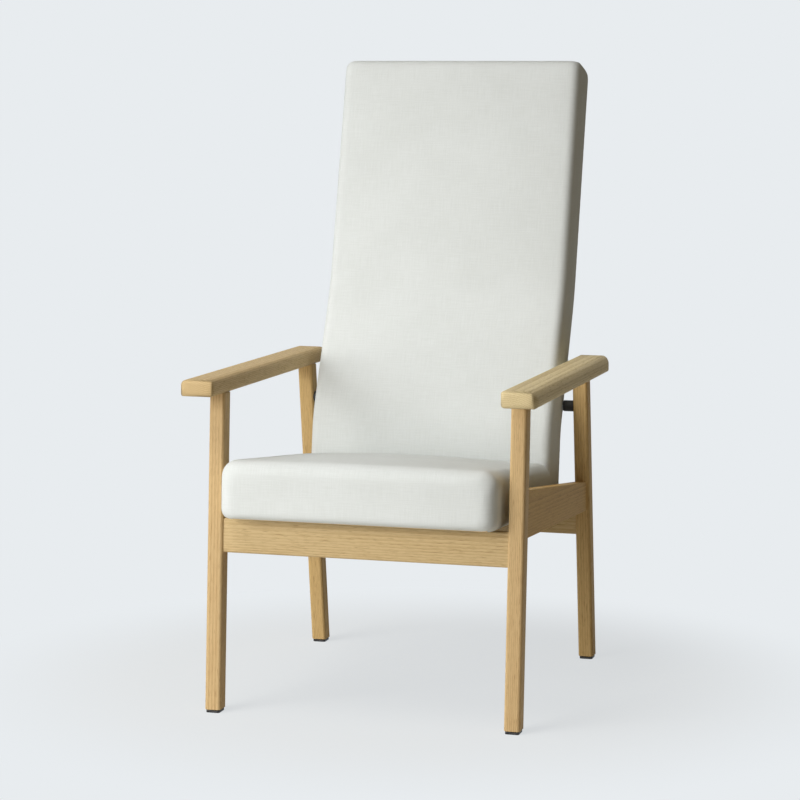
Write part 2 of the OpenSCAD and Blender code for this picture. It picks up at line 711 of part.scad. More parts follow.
front_leg(1);  // front_leg_left
front_leg(-1);  // front_leg_right
rear_leg(1);  // rear_leg_left
rear_leg(-1);  // rear_leg_right
armrest(1);  // armrest_left
armrest(-1);  // armrest_right
side_rail(1);  // side_rail_left
side_rail(-1);  // side_rail_right
front_rail();
rear_rail();
seat_bearer(1);  // seat_bearer_left
seat_bearer(-1);  // seat_bearer_right
rail_dowels();
glide(1, glide_front_y);  // glide_front_left
glide(-1, glide_front_y);  // glide_front_right
glide(1, glide_rear_y);  // glide_rear_left
glide(-1, glide_rear_y);  // glide_rear_right
seat_cover();
seat_foam();
seat_board();
seat_dust_cover();
seat_pegs();
back_cover();
back_foam();
back_panel();
back_stile(1);  // back_stile_left
back_stile(-1);  // back_stile_right
back_cross(top_rail_s, top_rail_s + cross_h);  // back_top_rail
back_cross(lumbar_s, lumbar_s + cross_h);  // back_lumbar_rail
back_cross(bottom_rail_s, bottom_rail_s + cross_h);  // back_bottom_rail
pivot_insert(1);  // pivot_insert_left
pivot_insert(-1);  // pivot_insert_right
pivot_bolt(1);  // pivot_bolt_left
pivot_bolt(-1);  // pivot_bolt_right
pivot_bush(1);  // pivot_bush_left
pivot_bush(-1);  // pivot_bush_right
bolt_plug(1);  // bolt_plug_left
bolt_plug(-1);  // bolt_plug_right
guide_pin(1);  // guide_pin_left
guide_pin(-1);  // guide_pin_right
guide_sleeve(1);  // guide_sleeve_left
guide_sleeve(-1);  // guide_sleeve_right
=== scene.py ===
import math
import bmesh
import bpy
import numpy as np
from mathutils import Euler, Matrix, Vector
from mathutils.bvhtree import BVHTree
from mathutils.kdtree import KDTree


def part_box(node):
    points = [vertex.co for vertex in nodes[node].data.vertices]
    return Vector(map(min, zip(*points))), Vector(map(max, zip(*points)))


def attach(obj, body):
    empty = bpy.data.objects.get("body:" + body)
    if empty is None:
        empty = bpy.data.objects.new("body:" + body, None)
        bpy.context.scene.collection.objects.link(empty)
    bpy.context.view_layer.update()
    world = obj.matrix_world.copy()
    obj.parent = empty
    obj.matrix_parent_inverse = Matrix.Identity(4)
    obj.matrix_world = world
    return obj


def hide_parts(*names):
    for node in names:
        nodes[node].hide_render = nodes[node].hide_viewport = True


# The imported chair: three bodies, the glued frame, the lift-out seat and the tilting back.
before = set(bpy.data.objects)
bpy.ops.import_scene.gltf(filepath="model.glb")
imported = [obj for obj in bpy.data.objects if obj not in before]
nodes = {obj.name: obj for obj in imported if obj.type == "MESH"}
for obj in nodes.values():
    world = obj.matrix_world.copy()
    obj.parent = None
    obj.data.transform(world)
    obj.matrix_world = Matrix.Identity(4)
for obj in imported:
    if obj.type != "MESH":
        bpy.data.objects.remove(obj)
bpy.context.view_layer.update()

# Camera
# Where the photographer stood: in front of the chair and towards its left-hand side, a little
# above the seat, with a long lens. The values come from fitting the chair's edges.
camera = bpy.data.objects.new("camera", bpy.data.cameras.new("camera"))
bpy.context.scene.collection.objects.link(camera)
camera.data.sensor_width = 36
camera.data.lens = 115.05
yaw, pitch, roll = math.radians(15.86), math.radians(-6.81), math.radians(0.23)
ahead = Vector((-math.sin(yaw) * math.cos(pitch), math.cos(yaw) * math.cos(pitch), math.sin(pitch)))
level = Vector((math.cos(yaw), math.sin(yaw), 0))
above = level.cross(ahead)
right = level * math.cos(roll) + above * math.sin(roll)
up = above * math.cos(roll) - level * math.sin(roll)
camera.location = (1.31533, -4.744553, 1.13956)
camera.rotation_euler = Matrix((right, up, -ahead)).transposed().to_euler()
bpy.context.scene.camera = camera

# Oak frame
# Solid European oak, planed, sanded and finished with a thin matt lacquer. Legs, armrests, rails
# and bearers are separate bars, dowelled and glued, and each has its own run of the grain.
MM = 0.001


def colour(hexa):
    """Linear RGBA of an sRGB hex colour."""
    parts = [int(hexa[i:i + 2], 16) / 255 for i in (1, 3, 5)]
    return [p / 12.92 if p <= 0.04045 else ((p + 0.055) / 1.055) ** 2.4 for p in parts] + [1]


def add(tree, kind, settings=None, inputs=None):
    """A node with its settings, and its inputs set to values or joined to sockets."""
    node = tree.nodes.new(kind)
    for key, value in (settings or {}).items():
        setattr(node, key, value)
    for key, value in (inputs or {}).items():
        if isinstance(value, bpy.types.NodeSocket):
            tree.links.new(value, node.inputs[key])
        else:
            node.inputs[key].default_value = value
    return node


def finish_named(name):
    """A new material with its tree, its surface shader and its output."""
    material = bpy.data.materials.new(name)
    material.use_nodes = True
    tree = material.node_tree
    tree.nodes.clear()
    shader = add(tree, "ShaderNodeBsdfPrincipled")
    add(tree, "ShaderNodeOutputMaterial", inputs={"Surface": shader.outputs[0]})
    return material, tree, shader


def ramp(tree, value, stops):
    """Colours or greys between places on a 0 to 1 scale."""
    node = add(tree, "ShaderNodeValToRGB", inputs={0: value})
    elements = node.color_ramp.elements
    while len(elements) < len(stops):
        elements.new(0.5)
    for element, (place, shade) in zip(elements, stops):
        element.position = place
        element.color = colour(shade) if isinstance(shade, str) else (shade, shade, shade, 1)
    return node.outputs[0]


# Planed oak under matt lacquer: straight growth lines about 3 mm apart that run with the bar,
# finer fibres, and short open pores that catch a little shadow. At scale 1 Blender's rings are
# 2 pi / 20 apart.
def oak(name, along, middle, pith, light, dark, line=3.4 * MM):
    material, tree, shader = finish_named(name)
    ring_scale = 2 * math.pi / (20 * line)
    turn = Euler(along)
    place = Vector(pith) - turn.to_matrix() @ Vector(middle)
    where = add(tree, "ShaderNodeTexCoord").outputs["Object"]
    grain = add(tree, "ShaderNodeMapping", inputs={
        "Vector": where, "Rotation": turn, "Location": place}).outputs[0]
    long_line = add(tree, "ShaderNodeMapping", inputs={"Vector": grain, "Scale": (1, 1, 0.07)}).outputs[0]
    fibre_line = add(tree, "ShaderNodeMapping", inputs={"Vector": grain, "Scale": (1, 1, 0.03)}).outputs[0]
    rings = add(tree, "ShaderNodeTexWave", {
        "wave_type": "RINGS", "rings_direction": "Z", "wave_profile": "SAW"}, {
        "Vector": long_line, "Scale": ring_scale, "Distortion": 2.2,
        "Detail": 2, "Detail Scale": 0.12, "Detail Roughness": 0.5})
    fibres = add(tree, "ShaderNodeTexNoise", inputs={
        "Vector": fibre_line, "Scale": 900, "Detail": 3, "Roughness": 0.6}).outputs[0]
    cloud = add(tree, "ShaderNodeTexNoise", inputs={
        "Vector": long_line, "Scale": 22, "Detail": 2}).outputs[0]
    pores = add(tree, "ShaderNodeTexNoise", inputs={
        "Vector": fibre_line, "Scale": 1700, "Detail": 1}).outputs[0]
    tone = add(tree, "ShaderNodeMath", {"operation": "MULTIPLY_ADD"}, {
        0: rings.outputs["Fac"], 1: 0.34, 2: 0.06})
    tone = add(tree, "ShaderNodeMath", {"operation": "MULTIPLY_ADD"}, {
        0: fibres, 1: 0.55, 2: tone.outputs[0]})
    tone = add(tree, "ShaderNodeMath", {"operation": "MULTIPLY_ADD"}, {
        0: cloud, 1: 0.35, 2: tone.outputs[0]})
    wood = ramp(tree, tone.outputs[0], [(0.25, light), (0.62, light), (0.95, dark)])
    open_pore = ramp(tree, pores, [(0.6, 0.0), (0.68, 1.0)])
    dim = add(tree, "ShaderNodeMix", {"data_type": "RGBA", "blend_type": "MULTIPLY"}, {
        0: add(tree, "ShaderNodeMath", {"operation": "MULTIPLY"}, {0: open_pore, 1: 0.55}).outputs[0],
        6: wood, 7: colour("#a98f6b")})
    tree.links.new(dim.outputs[2], shader.inputs["Base Color"])
    rough = add(tree, "ShaderNodeMapRange", inputs={"Value": fibres, "To Min": 0.5, "To Max": 0.66})
    tree.links.new(rough.outputs[0], shader.inputs["Roughness"])
    relief = add(tree, "ShaderNodeMath", {"operation": "MULTIPLY_ADD"}, {
        0: open_pore, 1: -1.0, 2: fibres})
    bump = add(tree, "ShaderNodeBump", inputs={
        "Height": relief.outputs[0], "Strength": 0.35, "Distance": 0.12 * MM})
    tree.links.new(bump.outputs[0], shader.inputs["Normal"])
    shader.inputs["Specular IOR Level"].default_value = 0.12
    return material


def middle_of(node):
    low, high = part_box(node)
    return (low + high) / 2


def ease_edges(node, width):
    """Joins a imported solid's loose faces, rounds what was left sharp and shades it smooth."""
    piece = nodes[node]
    weld = piece.modifiers.new("weld", "WELD")
    weld.merge_threshold = 0.01 * MM
    if width:
        bevel = piece.modifiers.new("eased edges", "BEVEL")
        bevel.width = width
        bevel.segments = 3
        bevel.limit_method = "ANGLE"
        bevel.angle_limit = math.radians(50)
        bevel.harden_normals = False
    for face in piece.data.polygons:
        face.use_smooth = True
    normals = piece.modifiers.new("flat faces", "WEIGHTED_NORMAL")
    normals.keep_sharp = False
    normals.weight = 100


def finish(node, material):
    piece = nodes[node]
    piece.data.materials.clear()
    piece.data.materials.append(material)


seat_slope, rear_rake = math.radians(3.4), math.radians(-9.1)
with_leg = (seat_slope, 0, 0)
with_rear_leg = (rear_rake, 0, 0)
with_seat = (math.radians(90) + seat_slope, 0, 0)
front_to_back = (math.radians(90), 0, 0)
side_to_side = (0, math.radians(-90), 0)
pale, golden = ("#d2b98b", "#b99c6c"), ("#cfb07a", "#b4935f")
mellow, deep = ("#dfcda1", "#c2ac7c"), ("#d0b384", "#b59364")
# The side rails' tone is darker and more saturated than the other bars': it is painted shade, standing in
# for the shade the rails lie in under the armrests.
painted_shade_amber = ("#c4a061", "#a9854a")
bars = {
    "front_leg_left": (with_leg, (0.11, 0.05, 0), deep),
    "front_leg_right": (with_leg, (-0.07, 0.12, 0.4), deep),
    "rear_leg_left": (with_rear_leg, (0.09, -0.09, 0.9), golden),
    "rear_leg_right": (with_rear_leg, (0.12, 0.03, 1.3), golden),
    "armrest_left": (front_to_back, (0.02, -0.075, 0.2), mellow),
    "armrest_right": (front_to_back, (-0.03, 0.065, 0.7), pale),
    "side_rail_left": (with_seat, (0.07, 0.04, 1.1), painted_shade_amber),
    "side_rail_right": (with_seat, (0.085, -0.03, 1.7), painted_shade_amber),
    "front_rail": (side_to_side, (0.05, 0.075, 0.1), pale),
    "rear_rail": (side_to_side, (-0.06, 0.08, 0.6), pale),
    "seat_bearer_left": (with_seat, (0.05, 0.09, 2.1), pale),
    "seat_bearer_right": (with_seat, (-0.08, 0.06, 2.6), pale),
}
sharp_in_cad, sharp_ease = ("side_rail", "bearer"), 1.2 * MM
for node, (along, pith, (light, dark)) in bars.items():
    finish(node, oak("lacquered_oak_" + node, along, middle_of(node), pith, light, dark))
    ease_edges(node, sharp_ease if any(kind in node for kind in sharp_in_cad) else 0)

# Bolt plugs
# Short oak plugs glued over the pivot bolts' heads, sanded flush. Their grain runs with the leg.
for side, pith in (("left", (0.03, 0.02, 0.2)), ("right", (0.025, -0.03, 0.5))):
    node = "bolt_plug_" + side
    finish(node, oak("plug_oak_" + side, with_rear_leg, middle_of(node), pith,
                     "#d0ad79", "#b08756", line=2.6 * MM))
    ease_edges(node, 0)

# Dowels
# Beech dowels, 8 mm, hidden in the joints, and the four 10 mm pegs under the seat board, which show
# in the dust cover's holes.
beech, tree, shader = finish_named("turned_beech")
where = add(tree, "ShaderNodeTexCoord").outputs["Object"]
flecks = add(tree, "ShaderNodeTexNoise", inputs={"Vector": where, "Scale": 400, "Detail": 2}).outputs[0]
tree.links.new(ramp(tree, flecks, [(0.35, "#d8b48a"), (0.7, "#c79d6f")]), shader.inputs["Base Color"])
shader.inputs["Roughness"].default_value = 0.7
for node in ("rail_dowels", "seat_pegs"):
    finish(node, beech)

# Glides
# Moulded black polyamide feet, pressed into the legs' ends. The mould leaves a fine matt grain.
polyamide, tree, shader = finish_named("moulded_black_polyamide")
where = add(tree, "ShaderNodeTexCoord").outputs["Object"]
grain = add(tree, "ShaderNodeTexNoise", inputs={"Vector": where, "Scale": 2500, "Detail": 2}).outputs[0]
tree.links.new(ramp(tree, grain, [(0.35, "#1b1a19"), (0.7, "#262422")]), shader.inputs["Base Color"])
tree.links.new(add(tree, "ShaderNodeMapRange", inputs={
    "Value": grain, "To Min": 0.45, "To Max": 0.62}).outputs[0], shader.inputs["Roughness"])
tree.links.new(add(tree, "ShaderNodeBump", inputs={
    "Height": grain, "Strength": 0.4, "Distance": 0.05 * MM}).outputs[0], shader.inputs["Normal"])
for node in ("glide_front_left", "glide_front_right", "glide_rear_left", "glide_rear_right"):
    finish(node, polyamide)
    ease_edges(node, 0)

# Seat board
# Birch plywood with vent holes under the foam, inside the cover. The back's bent panel is of the
# same plywood.
plywood, tree, shader = finish_named("birch_plywood")
where = add(tree, "ShaderNodeTexCoord").outputs["Object"]
plies = add(tree, "ShaderNodeMapping", inputs={"Vector": where, "Scale": (0.05, 1, 1)}).outputs[0]
figure = add(tree, "ShaderNodeTexNoise", inputs={"Vector": plies, "Scale": 120, "Detail": 4}).outputs[0]
tree.links.new(ramp(tree, figure, [(0.3, "#dcc49a"), (0.7, "#c9a976")]), shader.inputs["Base Color"])
shader.inputs["Roughness"].default_value = 0.7
for node in ("seat_board", "back_panel"):
    finish(node, plywood)

# Seat cushion
# A wedge of foam on the board, under one piece of off-white wool-mix cloth. It is crowned on top,
# rounded at every edge, sewn at the rear corners, drawn round the front ones and stapled below.
# As in the photo it lies 5 mm off the middle and is fuller at its rear than the plain CAD wedge.
floor_to_middle = 378.533 * MM
seat_front, seat_length = -44.94 * MM, 476 * MM
seat_low = 365.1 * MM
seat_front_t, seat_rear_t = 112 * MM, 90 * MM
seat_half, seat_belly, seat_crown = 263 * MM, 1 * MM, 12 * MM
seat_middle = -5 * MM
seat_front_r, seat_rear_r = 30 * MM, 22 * MM
seat_top_r, seat_low_r = 30 * MM, 18 * MM


def on_seat(x, u, w):
    """A point of the chair from its place across, along and above the seat's plane."""
    return Vector((x, u * math.cos(seat_slope) + w * math.sin(seat_slope) - floor_to_middle,
                   w * math.cos(seat_slope) - u * math.sin(seat_slope)))


def arc(x, y, r, start, steps=8):
    turns = [math.radians(start + 90 * k / steps) for k in range(steps + 1)]
    return [(x + r * math.cos(turn), y + r * math.sin(turn)) for turn in turns]


def padded_ring(half, low, high, r_low, r_high, rise, belly, crown_steps=16):
    """Outline of a padded section: crowned on top, its flanks swollen, its corners round."""
    flat, under = half - r_high, half - r_low
    mid = (low + high) / 2
    across = [2 * k / crown_steps - 1 for k in range(1, crown_steps)]
    return ([(half + belly, mid)] + arc(flat, high - r_high, r_high, 0)
            + [(-flat * t, high + rise * (1 - t * t)) for t in across]
            + arc(-flat, high - r_high, r_high, 90) + [(-half - belly, mid)]
            + arc(-under, low + r_low, r_low, 180) + [(under * t, low) for t in across]
            + arc(under, low + r_low, r_low, 270))


def rounding(share, r):
    """How far a round end draws a section in, at a share of its radius from the end."""
    return 0 if share >= 1 else r * (1 - math.sqrt(1 - (1 - share) ** 2))


def stations(length, r0, r1, count, steps=7):
    """Places along a padded form, close together over its round ends. The outermost two lie a
    fifth of a step inside the ends, where the form is closed flat."""
    turn = [1 - math.cos(math.radians(90 * (k + 0.2) / steps)) for k in range(steps)]
    return ([r0 * t for t in turn] + [r0 + (length - r0 - r1) * k / count for k in range(count + 1)]
            + [length - r1 * t for t in reversed(turn)])


def closed_skin(name, rings):
    """A closed mesh through rings of points, with flat ends."""
    n = len(rings[0])
    points = [p for ring in rings for p in ring]
    faces = [(j * n + i, j * n + (i + 1) % n, (j + 1) * n + (i + 1) % n, (j + 1) * n + i)
             for j in range(len(rings) - 1) for i in range(n)]
    faces += [tuple(range(n))[::-1], tuple(range((len(rings) - 1) * n, len(rings) * n))]
    mesh = bpy.data.meshes.new(name)
    mesh.from_pydata(points, [], faces)
    shell = bmesh.new()
    shell.from_mesh(mesh)
    bmesh.ops.remove_doubles(shell, verts=shell.verts, dist=0.05 * MM)
    bmesh.ops.recalc_face_normals(shell, faces=shell.faces)
    shell.to_mesh(mesh)
    shell.free()
    return placed(name, mesh)


def placed(name, mesh):
    piece = bpy.data.objects.new(name, mesh)
    bpy.context.scene.collection.objects.link(piece)
    return piece


def applied(piece):
    """Puts a piece's modifiers into its mesh."""
    view = bpy.context.evaluated_depsgraph_get()
    made = bpy.data.meshes.new_from_object(piece.evaluated_get(view))
    piece.modifiers.clear()
    piece.data = made
    return piece


def spread(mesh, what):
    """A mesh's points or point normals as rows of three numbers."""
    flat = np.zeros(len(mesh.vertices) * 3)
    mesh.vertices.foreach_get(what, flat)
    return flat.reshape(-1, 3)


def even_cover(name, form, voxel):
    """The form's skin again in even faces, which cloth needs, and laid back on the form."""
    piece = placed(name, form.data.copy())
    remesh = piece.modifiers.new("even mesh", "REMESH")
    remesh.mode = "VOXEL"
    remesh.voxel_size = voxel
    smooth = piece.modifiers.new("even out", "SMOOTH")
    smooth.factor = 0.5
    smooth.iterations = 4
    wrap = piece.modifiers.new("on the form", "SHRINKWRAP")
    wrap.target = form
    wrap.wrap_method = "NEAREST_SURFACEPOINT"
    applied(piece)
    bpy.data.objects.remove(form)
    return piece


def averaged(mesh, values, times):
    """Evens out one number per point over the points joined to it."""
    ends = np.zeros(len(mesh.edges) * 2, int)
    mesh.edges.foreach_get("vertices", ends)
    a, b = ends.reshape(-1, 2).T
    count = np.bincount(ends, minlength=len(values))
    for _ in range(times):
        total = np.bincount(a, values[b], len(values)) + np.bincount(b, values[a], len(values))
        values = (values + total / count) / 2
    return values


def stuff(piece, inset, held, flat, frames=20, tuck_share=0.4):
    """Fills a cover. It starts smaller by inset and swells under pressure where it isn't held. Its
    free parts end at full size, the others a little inside it. flat says where it lies on a board."""
    mesh = piece.data
    full, out = spread(mesh, "co"), spread(mesh, "normal")
    start = full - inset * out
    mesh.vertices.foreach_set("co", start.ravel())
    pinned = piece.vertex_groups.new(name="held")
    for i, weight in enumerate(np.maximum(held(full), flat(full))):
        pinned.add([i], float(weight), "REPLACE")
    cloth = piece.modifiers.new("cover", "CLOTH")
    settings = cloth.settings
    settings.quality = 5
    settings.use_pressure = True
    settings.uniform_pressure_force = 4
    settings.effector_weights.gravity = 0
    settings.vertex_group_mass = "held"
    settings.tension_stiffness = settings.compression_stiffness = 15
    settings.bending_stiffness = 0.5
    cloth.collision_settings.use_collision = False
    cloth.point_cache.frame_start, cloth.point_cache.frame_end = 1, frames
    for frame_now in range(1, frames + 1):
        bpy.context.scene.frame_set(frame_now)
    view = bpy.context.evaluated_depsgraph_get()
    rise = ((spread(piece.evaluated_get(view).data, "co") - start) * out).sum(axis=1)
    rise = np.clip(rise / np.percentile(rise, 75), 0, 1)
    rise = averaged(mesh, np.maximum(rise, flat(full)), 3)
    piece.modifiers.clear()
    piece.vertex_groups.clear()
    tucked = tuck_share * inset * (1 - rise)
    mesh.vertices.foreach_set("co", (full - out * tucked[:, None]).ravel())
    bpy.context.scene.frame_set(1)
    finer = piece.modifiers.new("finer", "SUBSURF")
    finer.levels = finer.render_levels = 1
    return applied(piece)


def seam_from(tree, middle, ways):
    """A line on a surface, where rays from one point inside leave it."""
    return [tree.ray_cast(middle, way)[0] for way in ways]


def evenly(path, step, closed=False):
    """The same line with its points one step apart."""
    path = [Vector(p) for p in path] + ([Vector(path[0])] if closed else [])
    reach = np.concatenate([[0], np.cumsum([(b - a).length for a, b in zip(path, path[1:])])])
    places = np.linspace(0, reach[-1], max(2, round(reach[-1] / step)))
    spots = np.stack([np.interp(places, reach, [p[k] for p in path]) for k in range(3)], axis=1)
    return spots[:-1] if closed else spots


def sew(piece, seams, depth, width, pucker, fold=13 * MM, reach=9 * MM):
    """Draws the cloth in along its seams and gathers it a little beside them."""
    lines = np.concatenate(seams)
    places = np.concatenate([np.arange(len(seam)) for seam in seams])
    near = KDTree(len(lines))
    for i, spot in enumerate(lines):
        near.insert(spot, i)
    near.balance()
    mesh = piece.data
    points, out = spread(mesh, "co"), spread(mesh, "normal")
    found = [near.find(p)[1:] for p in points]
    away = np.array([f[1] for f in found])
    turn = places[[f[0] for f in found]] * seam_step * 2 * math.pi / fold
    wave = np.sin(turn) + 0.6 * np.sin(0.37 * turn + 1)
    gather = pucker * wave * np.exp(-away / reach) * (1 - np.exp(-(away / width) ** 2))
    draw = -depth * np.exp(-(away / width) ** 2)
    mesh.vertices.foreach_set("co", (points + out * (gather + draw)[:, None]).ravel())


def lay_weave(piece):
    """A fabric map in metres, laid on each face from the side that it looks to."""
    mesh = piece.data
    layer = mesh.uv_layers.new(name="weave")
    flat = spread(mesh, "co")
    uvs = np.zeros((len(mesh.loops), 2))
    for face in mesh.polygons:
        n = [abs(v) for v in face.normal]
        across, along = ((1, 2), (0, 2), (0, 1))[n.index(max(n))]
        for loop in face.loop_indices:
            point = flat[mesh.loops[loop].vertex_index]
            uvs[loop] = point[across], point[along]
    layer.data.foreach_set("uv", uvs.ravel())
    mesh.uv_layers.active = layer


# Plain-woven wool-mix upholstery cloth: off-white, matt, soft at grazing angles, with yarns
# of slightly different tone. Real yarns are 0.9 mm apart; they are drawn at 1.5 mm to show.
def woven(name, light, dark, yarn=1.5 * MM):
    material, tree, shader = finish_named(name)
    spot = add(tree, "ShaderNodeUVMap", {"uv_map": "weave"}).outputs[0]
    split = add(tree, "ShaderNodeSeparateXYZ", inputs={0: spot})
    waves = []
    for axis in (0, 1):
        turns = add(tree, "ShaderNodeMath", {"operation": "MULTIPLY"}, {
            0: split.outputs[axis], 1: math.pi / yarn})
        waves.append(add(tree, "ShaderNodeMath", {"operation": "SINE"}, {0: turns.outputs[0]}).outputs[0])
    crossing = add(tree, "ShaderNodeMath", {"operation": "MULTIPLY"}, {0: waves[0], 1: waves[1]})
    slubs = []
    for stretch in ((1, 0.05, 1), (0.05, 1, 1)):
        run = add(tree, "ShaderNodeMapping", inputs={"Vector": spot, "Scale": stretch}).outputs[0]
        slubs.append(add(tree, "ShaderNodeTexNoise", inputs={
            "Vector": run, "Scale": 0.8 / yarn, "Detail": 2}).outputs[0])
    over = add(tree, "ShaderNodeMapRange", inputs={
        "Value": crossing.outputs[0], "From Min": -0.2, "From Max": 0.2})
    blend = add(tree, "ShaderNodeMix", {"data_type": "FLOAT"}, {
        0: over.outputs[0], 2: slubs[0], 3: slubs[1]})
    where = add(tree, "ShaderNodeTexCoord").outputs["Object"]
    wash = add(tree, "ShaderNodeTexNoise", inputs={"Vector": where, "Scale": 9, "Detail": 2}).outputs[0]
    yarns = add(tree, "ShaderNodeMath", {"operation": "MULTIPLY"}, {0: blend.outputs[0], 1: 0.7})
    tone = add(tree, "ShaderNodeMath", {"operation": "MULTIPLY_ADD"}, {
        0: wash, 1: 0.3, 2: yarns.outputs[0]})
    tree.links.new(ramp(tree, tone.outputs[0], [(0.36, dark), (0.64, light)]), shader.inputs["Base Color"])
    shader.inputs["Roughness"].default_value = 0.92
    shader.inputs["Specular IOR Level"].default_value = 0.1
    shader.inputs["Sheen Weight"].default_value = 0.06
    shader.inputs["Sheen Roughness"].default_value = 0.5
    crown = add(tree, "ShaderNodeMath", {"operation": "ABSOLUTE"}, {0: crossing.outputs[0]})
    height = add(tree, "ShaderNodeMath", {"operation": "MULTIPLY_ADD"}, {
        0: blend.outputs[0], 1: 0.8, 2: crown.outputs[0]})
    bump = add(tree, "ShaderNodeBump", inputs={
        "Height": height.outputs[0], "Strength": 0.35, "Distance": 0.15 * MM})
    tree.links.new(bump.outputs[0], shader.inputs["Normal"])
    return material


def repeat(name, unit):
    """A node tree that sets one small shape again and again along a path, its length with the
    path and its back to the surface."""
    tree = bpy.data.node_groups.new(name, "GeometryNodeTree")
    face = tree.interface
    face.new_socket("Path", in_out="INPUT", socket_type="NodeSocketGeometry")
    for size in ("Pitch", "Length", "Width", "Height"):
        face.new_socket(size, in_out="INPUT", socket_type="NodeSocketFloat")
    face.new_socket("Finish", in_out="INPUT", socket_type="NodeSocketMaterial")
    face.new_socket("Row", in_out="OUTPUT", socket_type="NodeSocketGeometry")
    given = add(tree, "NodeGroupInput").outputs
    line = add(tree, "GeometryNodeMeshToCurve", inputs={"Mesh": given["Path"]})
    spots = add(tree, "GeometryNodeResampleCurve", {"mode": "LENGTH"}, {
        "Curve": line.outputs[0], "Length": given["Pitch"]})
    shape = add(tree, *unit)
    outward = add(tree, "GeometryNodeInputNamedAttribute", {"data_type": "FLOAT_VECTOR"}, {
        "Name": "outward"})
    ahead = add(tree, "FunctionNodeAlignRotationToVector", {"axis": "X"}, {
        "Vector": add(tree, "GeometryNodeInputTangent").outputs[0]})
    turned = add(tree, "FunctionNodeAlignRotationToVector", {"axis": "Z", "pivot_axis": "X"}, {
        "Rotation": ahead.outputs[0], "Vector": outward.outputs[0]})
    size = add(tree, "ShaderNodeCombineXYZ", inputs={
        0: given["Length"], 1: given["Width"], 2: given["Height"]})
    row = add(tree, "GeometryNodeInstanceOnPoints", inputs={
        "Points": spots.outputs[0], "Instance": shape.outputs[0],
        "Rotation": turned.outputs[0], "Scale": size.outputs[0]})
    real = add(tree, "GeometryNodeRealizeInstances", inputs={0: row.outputs[0]})
    dressed = add(tree, "GeometryNodeSetMaterial", inputs={
        "Geometry": real.outputs[0], "Material": given["Finish"]})
    add(tree, "NodeGroupOutput", inputs={0: dressed.outputs[0]})
    return tree


def row_along(name, tree, paths, outwards, sizes, finish_of, closed=False):
    """The shapes of a repeat tree along paths, as one plain mesh."""
    mesh = bpy.data.meshes.new(name)
    edges, first = [], 0
    for path in paths:
        n = len(path)
        edges += [(first + i, first + (i + 1) % n) for i in range(n if closed else n - 1)]
        first += n
    mesh.from_pydata([tuple(p) for path in paths for p in path], edges, [])
    outward = mesh.attributes.new("outward", "FLOAT_VECTOR", "POINT")
    outward.data.foreach_set("vector", np.concatenate(outwards).ravel())
    piece = placed(name, mesh)
    row = piece.modifiers.new("row", "NODES")
    row.node_group = tree
    for socket in tree.interface.items_tree:
        if socket.name in sizes:
            row[socket.identifier] = sizes[socket.name]
        elif socket.name == "Finish":
            row[socket.identifier] = finish_of
    applied(piece)
    for polygon in piece.data.polygons:
        polygon.use_smooth = True
    return piece


def on_cover(piece, seams, lift):
    """Where the seams run on the finished cover, lifted a little, and the way it faces there."""
    tree = BVHTree.FromObject(piece, bpy.context.evaluated_depsgraph_get())
    hits = [[tree.find_nearest(spot) for spot in seam] for seam in seams]
    outwards = [np.array([hit[1] for hit in row]) for row in hits]
    return [np.array([hit[0] for hit in row]) + lift * out
            for row, out in zip(hits, outwards)], outwards


cover_cloth = woven("woven_wool_mix_off_white", "#dfe3e2", "#d6dad8")

seat_rings = []
for s in stations(seat_length, seat_front_r, seat_rear_r, 26):
    t = s / seat_length
    e = (rounding(s / seat_front_r, seat_front_r)
         + rounding((seat_length - s) / seat_rear_r, seat_rear_r))
    thick = seat_front_t + (seat_rear_t - seat_front_t) * t
    swell = 1 - (2 * t - 1) ** 2
    ring = padded_ring(seat_half - seat_belly - e, seat_low + 0.4 * e, seat_low + thick - e,
                       seat_low_r, seat_top_r, seat_crown * swell, seat_belly * swell)
    seat_rings.append([on_seat(seat_middle + x, seat_front + s, w) for x, w in ring])
seat_cushion = even_cover("seat_cushion", closed_skin("seat_form", seat_rings), 6 * MM)

# The two rear corner seams rise from the board's edge and end just over the top edge. Each one is
# traced from a point inside its corner, from steeply downwards to steeply upwards.
seam_step = 2 * MM
seam_in, seam_up = 36 * MM, 40 * MM
seam_tips = np.radians(np.arange(-52, 47, 2))
skin = BVHTree.FromObject(seat_cushion, bpy.context.evaluated_depsgraph_get())
seat_seams = []
for x_way in (-1, 1):
    middle = on_seat(seat_middle + x_way * (seat_half - seam_in),
                     seat_front + seat_length - seam_in, seat_low + seam_up)
    ways = [Vector((x_way * math.cos(tip), math.cos(tip), math.sqrt(2) * math.sin(tip)))
            for tip in seam_tips]
    seat_seams.append(evenly(seam_from(skin, middle, ways), seam_step))


def away_from(points, seams):
    """Each point's distance to the nearest seam."""
    near = KDTree(sum(len(seam) for seam in seams))
    for i, spot in enumerate(np.concatenate(seams)):
        near.insert(spot, i)
    near.balance()
    return np.array([near.find(p)[2] for p in points])


def under_seat(points, kept=2 * MM, fading=8 * MM):
    """The cloth is stapled under the board, so its lowest part stays."""
    w = (points[:, 1] + floor_to_middle) * math.sin(seat_slope) + points[:, 2] * math.cos(seat_slope)
    return np.clip(1 - (w - seat_low - kept) / fading, 0, 1)


def by_seat_seams(points, fading=6 * MM):
    """The cloth is held along its seams and for half the fading's width beside them."""
    return np.clip(1.5 - away_from(points, seat_seams) / fading, 0, 1)


stuff(seat_cushion, 2.5 * MM, by_seat_seams, under_seat)
sew(seat_cushion, seat_seams, depth=1.2 * MM, width=3 * MM, pucker=0.3 * MM)
lay_weave(seat_cushion)
seat_cushion.data.materials.append(cover_cloth)
for face in seat_cushion.data.polygons:
    face.use_smooth = True
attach(seat_cushion, "seat")
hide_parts("seat_cover", "seat_foam")

